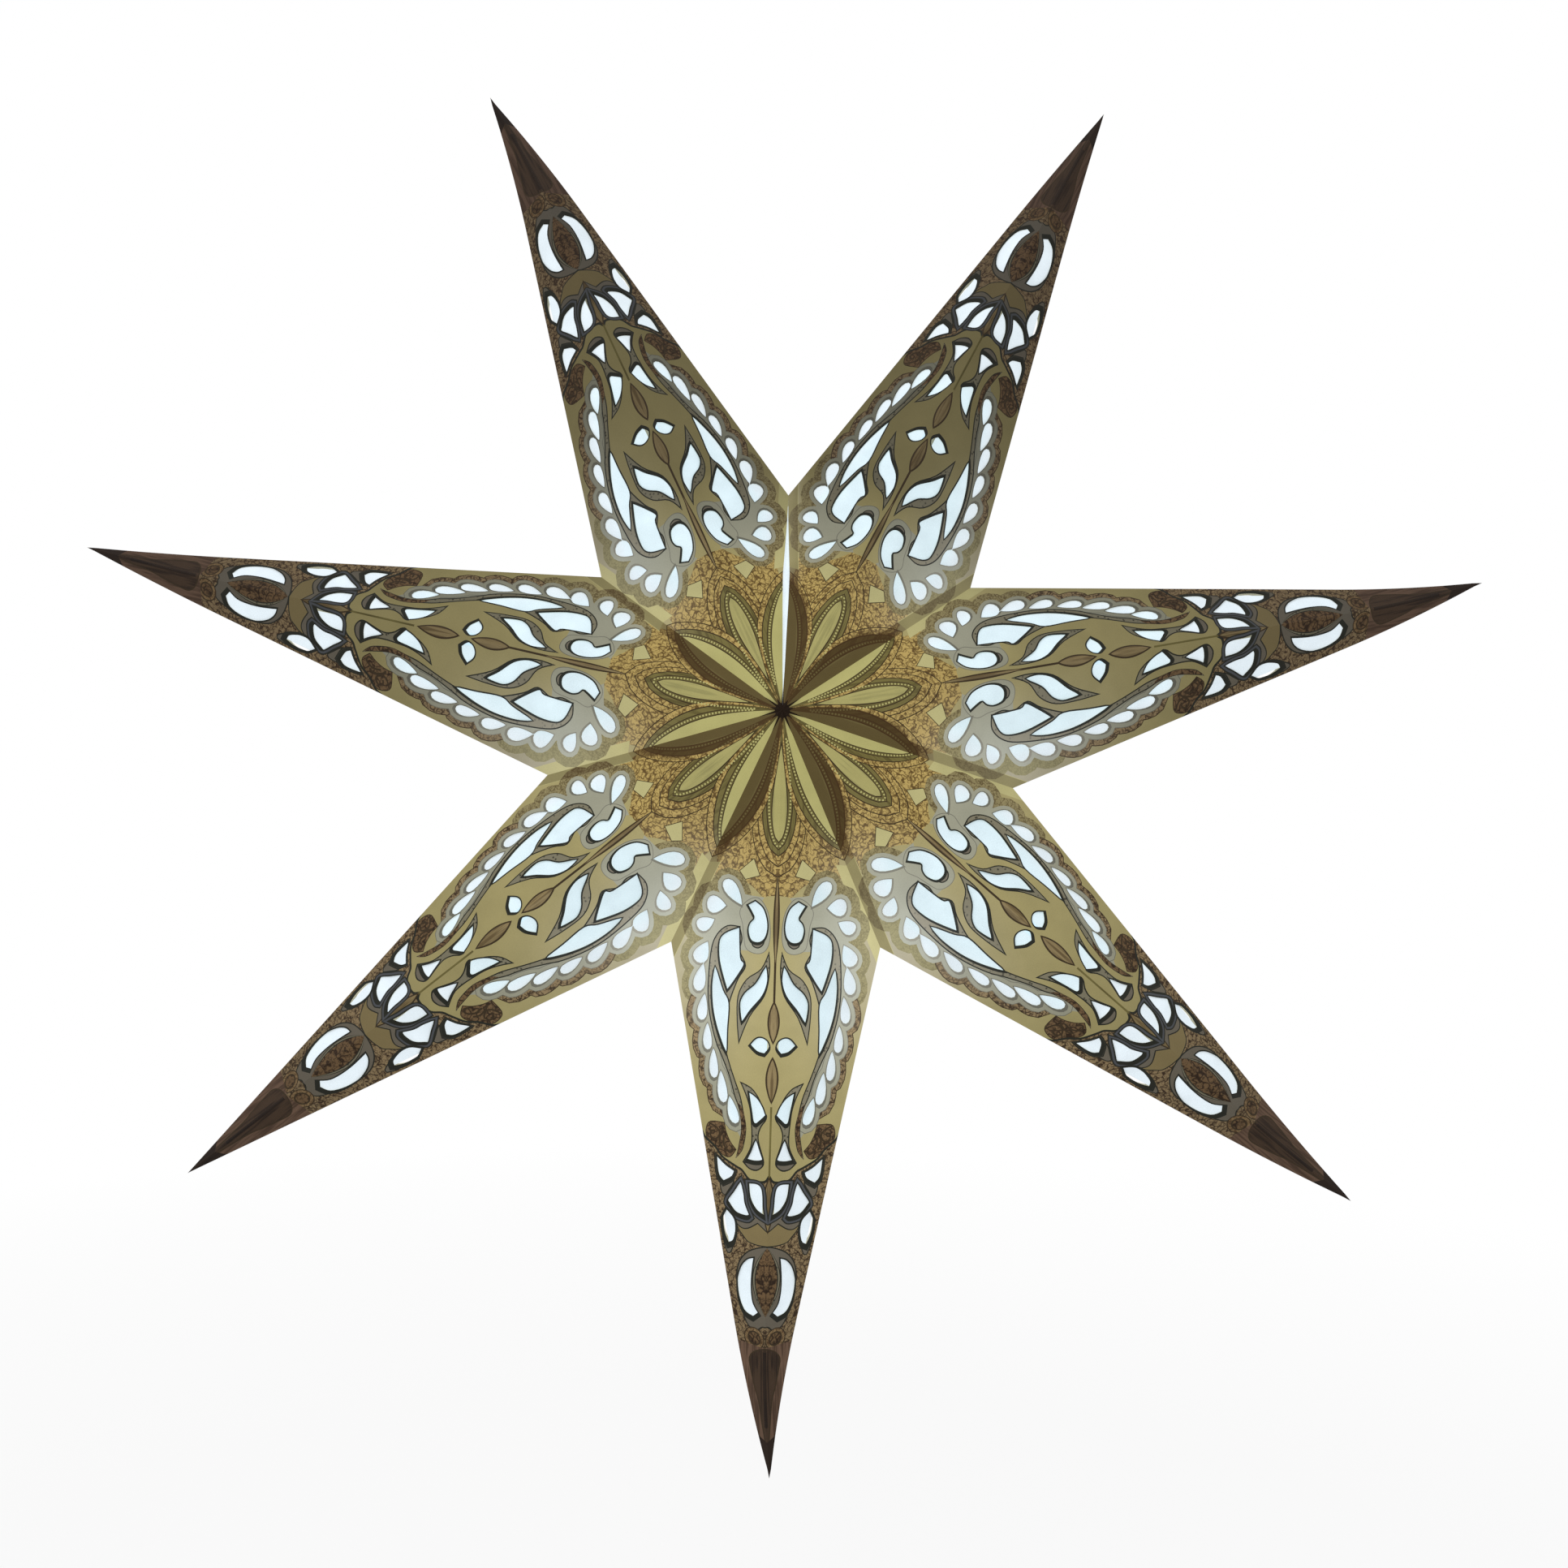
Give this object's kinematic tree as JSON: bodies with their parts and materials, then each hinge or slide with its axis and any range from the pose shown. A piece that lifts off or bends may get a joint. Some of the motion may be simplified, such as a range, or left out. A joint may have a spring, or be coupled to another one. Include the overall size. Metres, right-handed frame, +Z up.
{
  "type": "paper star lantern",
  "caption": "Hanging star lantern of pierced printed paper that folds flat like a fan, white-lined cut-outs lit from inside by a small lamp, hung by a wire eye behind its top seam.",
  "frame": {"origin": "middle of the hanging eye behind the top seam", "axes": "+Z up, the lantern's front faces -Y, the star lies in the XZ plane with one point straight down"},
  "size_m": [0.5782, 0.1182, 0.5637],
  "materials": {
    "printed_paper": null,
    "lining_paper": null,
    "hanging_wire": "bright steel wire",
    "lampholder": "black moulded plastic",
    "bulb": "opal LED globe, lit, with its screw cap; the globe is diffuser plastic"
  },
  "bodies": {
    "point1_right_back": {"point1_right_back_panel": "printed_paper", "point1_right_back_lining": "lining_paper", "hanging_wire": "hanging_wire", "lampholder": "lampholder", "bulb": "bulb"},
    "point1_right_front": {"point1_right_front_panel": "printed_paper", "point1_right_front_lining": "lining_paper"},
    "point1_left_back": {"point1_left_back_panel": "printed_paper", "point1_left_back_lining": "lining_paper"},
    "point1_left_front": {"point1_left_front_panel": "printed_paper", "point1_left_front_lining": "lining_paper"},
    "point2_right_back": {"point2_right_back_panel": "printed_paper", "point2_right_back_lining": "lining_paper"},
    "point2_right_front": {"point2_right_front_panel": "printed_paper", "point2_right_front_lining": "lining_paper"},
    "point2_left_back": {"point2_left_back_panel": "printed_paper", "point2_left_back_lining": "lining_paper"},
    "point2_left_front": {"point2_left_front_panel": "printed_paper", "point2_left_front_lining": "lining_paper"},
    "point3_right_back": {"point3_right_back_panel": "printed_paper", "point3_right_back_lining": "lining_paper"},
    "point3_right_front": {"point3_right_front_panel": "printed_paper", "point3_right_front_lining": "lining_paper"},
    "point3_left_back": {"point3_left_back_panel": "printed_paper", "point3_left_back_lining": "lining_paper"},
    "point3_left_front": {"point3_left_front_panel": "printed_paper", "point3_left_front_lining": "lining_paper"},
    "point4_right_back": {"point4_right_back_panel": "printed_paper", "point4_right_back_lining": "lining_paper"},
    "point4_right_front": {"point4_right_front_panel": "printed_paper", "point4_right_front_lining": "lining_paper"},
    "point4_left_back": {"point4_left_back_panel": "printed_paper", "point4_left_back_lining": "lining_paper"},
    "point4_left_front": {"point4_left_front_panel": "printed_paper", "point4_left_front_lining": "lining_paper"},
    "point5_right_back": {"point5_right_back_panel": "printed_paper", "point5_right_back_lining": "lining_paper"},
    "point5_right_front": {"point5_right_front_panel": "printed_paper", "point5_right_front_lining": "lining_paper"},
    "point5_left_back": {"point5_left_back_panel": "printed_paper", "point5_left_back_lining": "lining_paper"},
    "point5_left_front": {"point5_left_front_panel": "printed_paper", "point5_left_front_lining": "lining_paper"},
    "point6_right_back": {"point6_right_back_panel": "printed_paper", "point6_right_back_lining": "lining_paper"},
    "point6_right_front": {"point6_right_front_panel": "printed_paper", "point6_right_front_lining": "lining_paper"},
    "point6_left_back": {"point6_left_back_panel": "printed_paper", "point6_left_back_lining": "lining_paper"},
    "point6_left_front": {"point6_left_front_panel": "printed_paper", "point6_left_front_lining": "lining_paper"},
    "point7_right_back": {"point7_right_back_panel": "printed_paper", "point7_right_back_lining": "lining_paper"},
    "point7_right_front": {"point7_right_front_panel": "printed_paper", "point7_right_front_lining": "lining_paper"},
    "point7_left_back": {"point7_left_back_panel": "printed_paper", "point7_left_back_lining": "lining_paper"},
    "point7_left_front": {"point7_left_front_panel": "printed_paper", "point7_left_front_lining": "lining_paper"}
  },
  "joints": [
    {"name": "point1_back_ridge", "type": "hinge", "parent": "point1_right_back", "child": "point1_left_back", "pos_m": [-0.00126, 0.03929, -0.08824], "axis": [-0.4255, -0.1961, 0.8835], "range_deg": [0, 90.11]},
    {"name": "point1_right_side_fold", "type": "hinge", "parent": "point1_right_back", "child": "point1_right_front", "pos_m": [-0.13189, -0.0202, 0.18182], "axis": [-0.6044, 0, 0.7967], "range_deg": [0, 87.89]},
    {"name": "point1_left_side_fold", "type": "hinge", "parent": "point1_left_back", "child": "point1_left_front", "pos_m": [-0.13095, -0.0202, 0.18227], "axis": [0.2461, 0, -0.9693], "range_deg": [0, 87.89]},
    {"name": "point1_2_back_valley", "type": "hinge", "parent": "point1_left_back", "child": "point2_right_back", "pos_m": [-0.00148, 0.04019, -0.088], "axis": [0.6681, 0.5195, -0.5328], "range_deg": [0, 108.99]},
    {"name": "point2_back_ridge", "type": "hinge", "parent": "point2_right_back", "child": "point2_left_back", "pos_m": [-0.0012, 0.03929, -0.08817], "axis": [-0.956, -0.1961, 0.2182], "range_deg": [0, 90.13]},
    {"name": "point2_right_side_fold", "type": "hinge", "parent": "point2_right_back", "child": "point2_right_front", "pos_m": [-0.29379, -0.0202, -0.02192], "axis": [-0.9997, 0, 0.0242], "range_deg": [0, 87.89]},
    {"name": "point2_left_side_fold", "type": "hinge", "parent": "point2_left_back", "child": "point2_left_front", "pos_m": [-0.29356, -0.0202, -0.02091], "axis": [0.9112, 0, -0.4119], "range_deg": [0, 87.89]},
    {"name": "point2_3_back_valley", "type": "hinge", "parent": "point2_left_back", "child": "point3_right_back", "pos_m": [-0.00153, 0.04019, -0.0882], "axis": [0.8331, 0.5195, 0.1901], "range_deg": [0, 108.99]},
    {"name": "point3_back_ridge", "type": "hinge", "parent": "point3_right_back", "child": "point3_left_back", "pos_m": [-0.00122, 0.03929, -0.08808], "axis": [-0.7666, -0.1961, -0.6114], "range_deg": [0, 90.13]},
    {"name": "point3_right_side_fold", "type": "hinge", "parent": "point3_right_back", "child": "point3_right_front", "pos_m": [-0.23544, -0.0202, -0.27553], "axis": [-0.6422, 0, -0.7665], "range_deg": [0, 87.89]},
    {"name": "point3_left_side_fold", "type": "hinge", "parent": "point3_left_back", "child": "point3_left_front", "pos_m": [-0.23609, -0.0202, -0.27472], "axis": [0.8902, 0, 0.4556], "range_deg": [0, 87.89]},
    {"name": "point3_4_back_valley", "type": "hinge", "parent": "point3_left_back", "child": "point4_right_back", "pos_m": [-0.0014, 0.04019, -0.08836], "axis": [0.3708, 0.5195, 0.7699], "range_deg": [0, 108.99]},
    {"name": "point4_back_ridge", "type": "hinge", "parent": "point4_right_back", "child": "point4_left_back", "pos_m": [-0.0013, 0.03929, -0.08805], "axis": [0, -0.1961, -0.9806], "range_deg": [0, 90.13]},
    {"name": "point4_right_side_fold", "type": "hinge", "parent": "point4_right_back", "child": "point4_right_front", "pos_m": [-0.00078, -0.0202, -0.38804], "axis": [0.1988, 0, -0.98], "range_deg": [0, 87.89]},
    {"name": "point4_left_side_fold", "type": "hinge", "parent": "point4_left_back", "child": "point4_left_front", "pos_m": [-0.00182, -0.0202, -0.38804], "axis": [0.1988, 0, 0.98], "range_deg": [0, 87.89]},
    {"name": "point4_5_back_valley", "type": "hinge", "parent": "point4_left_back", "child": "point5_right_back", "pos_m": [-0.0012, 0.04019, -0.08836], "axis": [-0.3708, 0.5195, 0.7699], "range_deg": [0, 108.99]},
    {"name": "point5_back_ridge", "type": "hinge", "parent": "point5_right_back", "child": "point5_left_back", "pos_m": [-0.00138, 0.03929, -0.08808], "axis": [0.7666, -0.1961, -0.6114], "range_deg": [0, 90.13]},
    {"name": "point5_right_side_fold", "type": "hinge", "parent": "point5_right_back", "child": "point5_right_front", "pos_m": [0.23349, -0.0202, -0.27472], "axis": [0.8902, 0, -0.4556], "range_deg": [0, 87.89]},
    {"name": "point5_left_side_fold", "type": "hinge", "parent": "point5_left_back", "child": "point5_left_front", "pos_m": [0.23284, -0.0202, -0.27553], "axis": [-0.6422, 0, 0.7665], "range_deg": [0, 87.89]},
    {"name": "point5_6_back_valley", "type": "hinge", "parent": "point5_left_back", "child": "point6_right_back", "pos_m": [-0.00107, 0.04019, -0.0882], "axis": [-0.8331, 0.5195, 0.1901], "range_deg": [0, 108.99]},
    {"name": "point6_back_ridge", "type": "hinge", "parent": "point6_right_back", "child": "point6_left_back", "pos_m": [-0.0014, 0.03929, -0.08817], "axis": [0.956, -0.1961, 0.2182], "range_deg": [0, 90.13]},
    {"name": "point6_right_side_fold", "type": "hinge", "parent": "point6_right_back", "child": "point6_right_front", "pos_m": [0.29096, -0.0202, -0.02091], "axis": [0.9112, 0, 0.4119], "range_deg": [0, 87.89]},
    {"name": "point6_left_side_fold", "type": "hinge", "parent": "point6_left_back", "child": "point6_left_front", "pos_m": [0.29119, -0.0202, -0.02192], "axis": [-0.9997, 0, -0.0242], "range_deg": [0, 87.89]},
    {"name": "point6_7_back_valley", "type": "hinge", "parent": "point6_left_back", "child": "point7_right_back", "pos_m": [-0.00112, 0.04019, -0.088], "axis": [-0.6681, 0.5195, -0.5328], "range_deg": [0, 108.99]},
    {"name": "point7_back_ridge", "type": "hinge", "parent": "point7_right_back", "child": "point7_left_back", "pos_m": [-0.00134, 0.03929, -0.08824], "axis": [0.4255, -0.1961, 0.8835], "range_deg": [0, 90.13]},
    {"name": "point7_right_side_fold", "type": "hinge", "parent": "point7_right_back", "child": "point7_right_front", "pos_m": [0.12835, -0.0202, 0.18227], "axis": [0.2461, 0, 0.9693], "range_deg": [0, 87.89]},
    {"name": "point7_left_side_fold", "type": "hinge", "parent": "point7_left_back", "child": "point7_left_front", "pos_m": [0.12929, -0.0202, 0.18182], "axis": [-0.6044, 0, -0.7967], "range_deg": [0, 87.89]}
  ],
  "couplings": [
    {"joint": "point1_right_side_fold", "follows": "point1_back_ridge", "ratio": 0.97522},
    {"joint": "point1_left_side_fold", "follows": "point1_back_ridge", "ratio": 0.97522},
    {"joint": "point1_2_back_valley", "follows": "point1_back_ridge", "ratio": 1.2094},
    {"joint": "point2_back_ridge", "follows": "point1_back_ridge", "ratio": 1},
    {"joint": "point2_right_side_fold", "follows": "point1_back_ridge", "ratio": 0.97522},
    {"joint": "point2_left_side_fold", "follows": "point1_back_ridge", "ratio": 0.97522},
    {"joint": "point2_3_back_valley", "follows": "point1_back_ridge", "ratio": 1.2094},
    {"joint": "point3_back_ridge", "follows": "point1_back_ridge", "ratio": 1},
    {"joint": "point3_right_side_fold", "follows": "point1_back_ridge", "ratio": 0.97522},
    {"joint": "point3_left_side_fold", "follows": "point1_back_ridge", "ratio": 0.97522},
    {"joint": "point3_4_back_valley", "follows": "point1_back_ridge", "ratio": 1.2094},
    {"joint": "point4_back_ridge", "follows": "point1_back_ridge", "ratio": 1},
    {"joint": "point4_right_side_fold", "follows": "point1_back_ridge", "ratio": 0.97522},
    {"joint": "point4_left_side_fold", "follows": "point1_back_ridge", "ratio": 0.97522},
    {"joint": "point4_5_back_valley", "follows": "point1_back_ridge", "ratio": 1.2094},
    {"joint": "point5_back_ridge", "follows": "point1_back_ridge", "ratio": 1},
    {"joint": "point5_right_side_fold", "follows": "point1_back_ridge", "ratio": 0.97522},
    {"joint": "point5_left_side_fold", "follows": "point1_back_ridge", "ratio": 0.97522},
    {"joint": "point5_6_back_valley", "follows": "point1_back_ridge", "ratio": 1.2094},
    {"joint": "point6_back_ridge", "follows": "point1_back_ridge", "ratio": 1},
    {"joint": "point6_right_side_fold", "follows": "point1_back_ridge", "ratio": 0.97522},
    {"joint": "point6_left_side_fold", "follows": "point1_back_ridge", "ratio": 0.97522},
    {"joint": "point6_7_back_valley", "follows": "point1_back_ridge", "ratio": 1.2094},
    {"joint": "point7_back_ridge", "follows": "point1_back_ridge", "ratio": 1},
    {"joint": "point7_right_side_fold", "follows": "point1_back_ridge", "ratio": 0.97522},
    {"joint": "point7_left_side_fold", "follows": "point1_back_ridge", "ratio": 0.97522}
  ]
}
